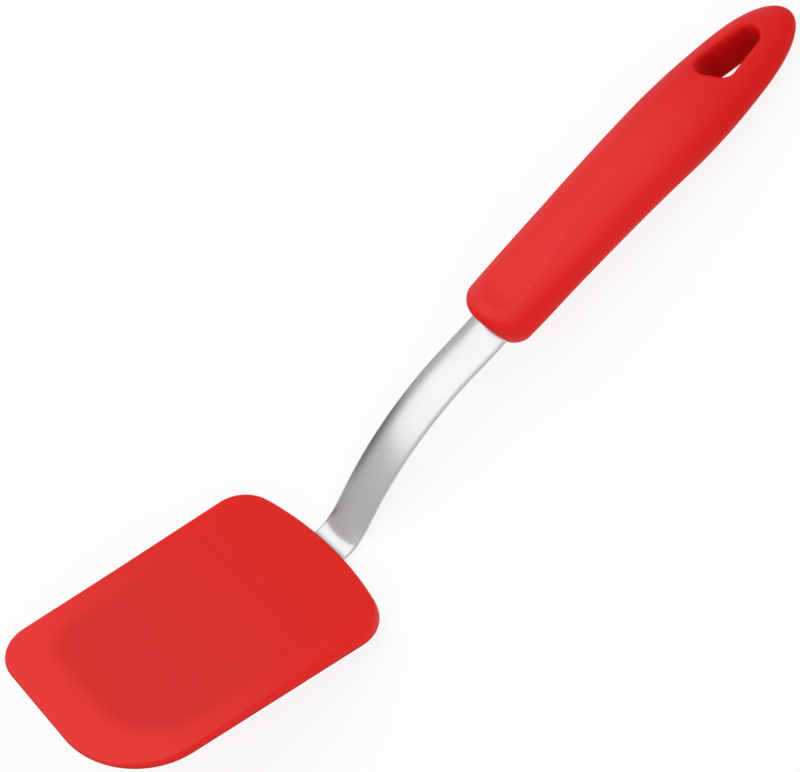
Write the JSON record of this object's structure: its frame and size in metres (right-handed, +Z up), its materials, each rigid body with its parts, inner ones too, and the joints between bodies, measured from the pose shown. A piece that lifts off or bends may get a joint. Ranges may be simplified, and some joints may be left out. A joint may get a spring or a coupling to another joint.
{
  "type": "silicone spatula",
  "caption": "Turner spatula with a flat silicone blade, bowed heel and lopsided front corners, a crowned bent steel neck, and a soft oval handle with thumb dish and hang hole.",
  "frame": {"origin": "middle of the base of the bounding box, on the table that the tool lies on", "axes": "+X from the blade to the handle's end, +Z up, +Y to the left seen along +X; the tool rests on its heel and the handle's underside with the blade's front raised"},
  "size_m": [0.2836, 0.066, 0.0496],
  "materials": {
    "red_silicone": "matte silicone, slightly translucent where thin",
    "spring_steel": "rolled spring steel sheet",
    "rivet_steel": "plain steel",
    "satin_steel": "stainless strip with a satin finish along its length",
    "inner_plastic": "moulded rigid plastic, not seen",
    "red_soft_skin": "matte soft-touch skin"
  },
  "bodies": {
    "root": {"blade_cover": "red_silicone", "blade_core": "spring_steel", "core_rivets": "rivet_steel", "neck_strip": "satin_steel", "handle_core": "inner_plastic", "handle_grip": "red_soft_skin"}
  },
  "joints": []
}
